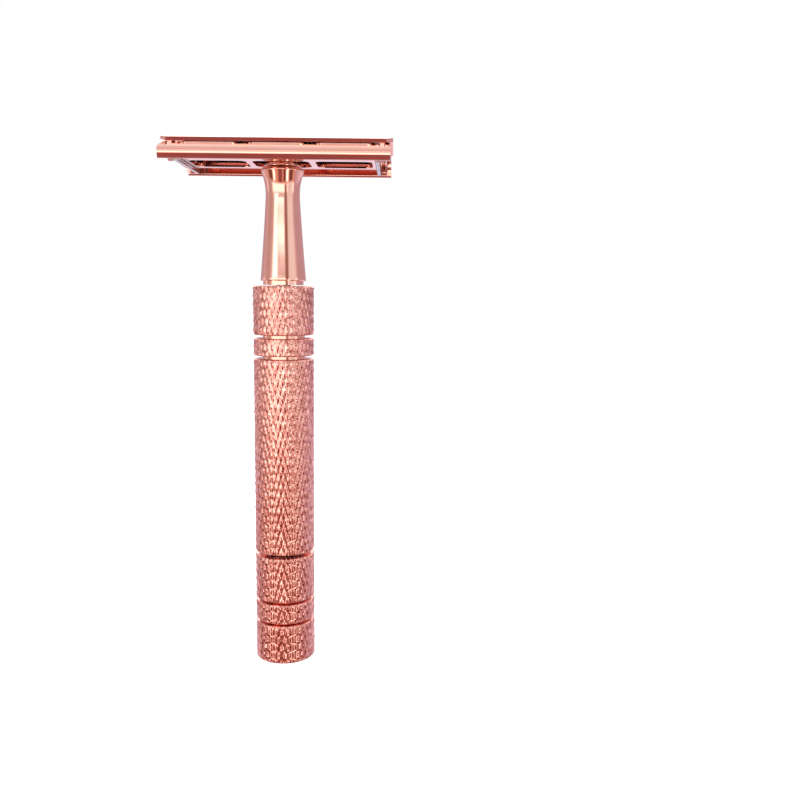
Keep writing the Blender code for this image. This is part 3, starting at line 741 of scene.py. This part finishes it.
# Azimuth is 0 degrees behind the camera and grows to its right; elevation is 0 at the horizon
SKY = (
    (-90, (0.30, 0.10, 0.10)),
    (-48, (0.32, 0.11, 0.10)),
    (-38, (0.85, 0.44, 0.33)),
    (-12, (0.85, 0.46, 0.34)),
    (-8, (2.1, 2.0, 1.9)),
    (2, (2.1, 2.0, 1.9)),
    (6, (0.92, 0.80, 0.82)),
    (9.6, (0.92, 0.78, 0.80)),
    (10.4, (0.68, 0.60, 0.61)),
    (16, (0.72, 0.64, 0.65)),
    (30, (0.88, 0.80, 0.83)),
    (50, (1.05, 1.0, 1.0)),
    (90, (1.35, 1.35, 1.35)),
)
PANELS = (
    # turns, heights, colour, softness
    ((-230, -100), (-90, 12), (0.58, 0.45, 0.52), (30.0, 2.0)),
    ((82, 230), (-90, 12), (0.58, 0.44, 0.52), (10.0, 2.0)),
    ((-230, -110), (-45, -5), (0.95, 0.84, 1.0), (30.0, 2.0)),
    ((110, 230), (-45, -5), (0.95, 0.84, 1.0), (30.0, 2.0)),
    ((-230, -120), (12, 25), (2.6, 2.5, 2.4), (20.0, 2.0)),
    ((120, 230), (12, 25), (2.6, 2.5, 2.4), (20.0, 2.0)),
    ((-100, -62), (-14, 40), (0.60, 0.47, 0.46), (9.0, 4.0)),
    ((-50, -24), (6.5, 12.3), (2.6, 2.5, 2.4), (7.0, 0.5)),
    ((-24, 15), (11.2, 12.4), (2.6, 2.5, 2.4), (5.0, 0.3)),
    ((-14, 8), (12.3, 16), (1.5, 1.3, 1.2), (5.0, 0.5)),
    ((-95, -62), (18, 60), (0.32, 0.18, 0.16), (6.0, 4.0)),
    ((-55, -28), (19, 60), (2.6, 2.5, 2.4), (5.0, 3.0)),
    ((24, 55), (18, 60), (0.32, 0.18, 0.16), (6.0, 4.0)),
    ((60, 85), (18, 60), (2.4, 2.3, 2.2), (6.0, 3.0)),
    ((-80, -56), (-70, -14), (0.22, 0.08, 0.07), (5.0, 3.0)),
    ((-52, -40), (-60, -14), (2.6, 2.4, 2.3), (4.0, 3.0)),
    ((12, 26), (-70, -14), (0.22, 0.08, 0.07), (4.0, 3.0)),
    ((30, 42), (-60, -14), (2.6, 2.4, 2.3), (4.0, 3.0)),
    ((48, 70), (-70, -14), (0.22, 0.08, 0.07), (5.0, 3.0)),
    ((19, 34), (-10, 30), (0.38, 0.22, 0.19), (4.0, 4.0)),
    ((38, 74), (-12, 30), (0.97, 1.0, 1.0), (5.0, 4.0)),
    ((-20, 4), (-60, -12.5), (0.33, 0.11, 0.11), (4.0, 2.0)),
)


def make_world():
    """A pale studio: plain white to the camera, softboxes and dark flags to what reflects it."""
    world = bpy.data.worlds.new("studio")
    bpy.context.scene.world = world
    world.use_nodes = True
    tree = world.node_tree
    tree.nodes.clear()
    place = tree.nodes.new("ShaderNodeTexCoord")
    split = tree.nodes.new("ShaderNodeSeparateXYZ")
    tree.links.new(place.outputs["Generated"], split.inputs["Vector"])
    to_degrees = 180 / math.pi
    back = maths(tree, "MULTIPLY", split.outputs["Y"], -1.0)
    turn = maths(tree, "MULTIPLY", maths(tree, "ARCTAN2", split.outputs["X"], back), to_degrees)
    height = maths(tree, "MULTIPLY", maths(tree, "ARCSINE", split.outputs["Z"]), to_degrees)
    share = maths(tree, "MULTIPLY_ADD", height, 1 / 180, 0.5)
    light = colour_ramp(tree, share, [(degrees / 180 + 0.5, colour) for degrees, colour in SKY])
    for turns, heights, colour, softness in PANELS:
        light = panel(tree, light, turn, height, turns, heights, colour, softness)
    reflected = tree.nodes.new("ShaderNodeBackground")
    reflected.inputs["Strength"].default_value = 1.0
    tree.links.new(light, reflected.inputs["Color"])
    seen = tree.nodes.new("ShaderNodeBackground")
    seen.inputs["Color"].default_value = (1, 1, 1, 1)
    path = tree.nodes.new("ShaderNodeLightPath")
    pick = tree.nodes.new("ShaderNodeMixShader")
    tree.links.new(path.outputs["Is Camera Ray"], pick.inputs["Fac"])
    tree.links.new(reflected.outputs["Background"], pick.inputs[1])
    tree.links.new(seen.outputs["Background"], pick.inputs[2])
    output = tree.nodes.new("ShaderNodeOutputWorld")
    tree.links.new(pick.outputs["Shader"], output.inputs["Surface"])


def area_light(name, place, aim, size, power):
    data = bpy.data.lights.new(name, "AREA")
    data.shape = "RECTANGLE"
    data.size, data.size_y = size
    data.energy = power
    lamp = bpy.data.objects.new(name, data)
    bpy.context.scene.collection.objects.link(lamp)
    lamp.location = place
    lamp.visible_glossy = False
    lamp.rotation_euler = (Vector(aim) - Vector(place)).to_track_quat("-Z", "Y").to_euler()
    return lamp


def make_lights():
    middle = (0, 0, 0.06)
    area_light("key_softbox", (-0.35, -0.5, 0.55), middle, (0.35, 0.35), 3.0)
    area_light("top_softbox", (0.1, 0.1, 0.8), middle, (0.6, 0.6), 3.0)


CAMERA_PLACE = (22.4 * MM, -169.7 * MM, 74.7 * MM)
CAMERA_LENS = 38.34
CAMERA_YAW = 0.28
CAMERA_PITCH = 7.24
CAMERA_ROLL = 0.59


def make_camera():
    """Close, slightly right of the handle and level with the neck, pitched down a little."""
    data = bpy.data.cameras.new("camera")
    data.sensor_width = 36.0
    data.lens = CAMERA_LENS
    camera = bpy.data.objects.new("camera", data)
    bpy.context.scene.collection.objects.link(camera)
    yaw = math.radians(CAMERA_YAW)
    pitch = math.radians(CAMERA_PITCH)
    roll = math.radians(CAMERA_ROLL)
    turn = Matrix.Rotation(-yaw, 4, "Z") @ Matrix.Rotation(math.pi / 2 - pitch, 4, "X")
    camera.matrix_world = Matrix.Translation(CAMERA_PLACE) @ turn @ Matrix.Rotation(roll, 4, "Z")
    data.clip_start = 0.01
    bpy.context.scene.camera = camera


make_camera()
make_handle()
make_neck()
make_head()
dress_the_rest()
make_floor()
make_world()
make_lights()
bpy.context.scene.view_settings.view_transform = "Standard"
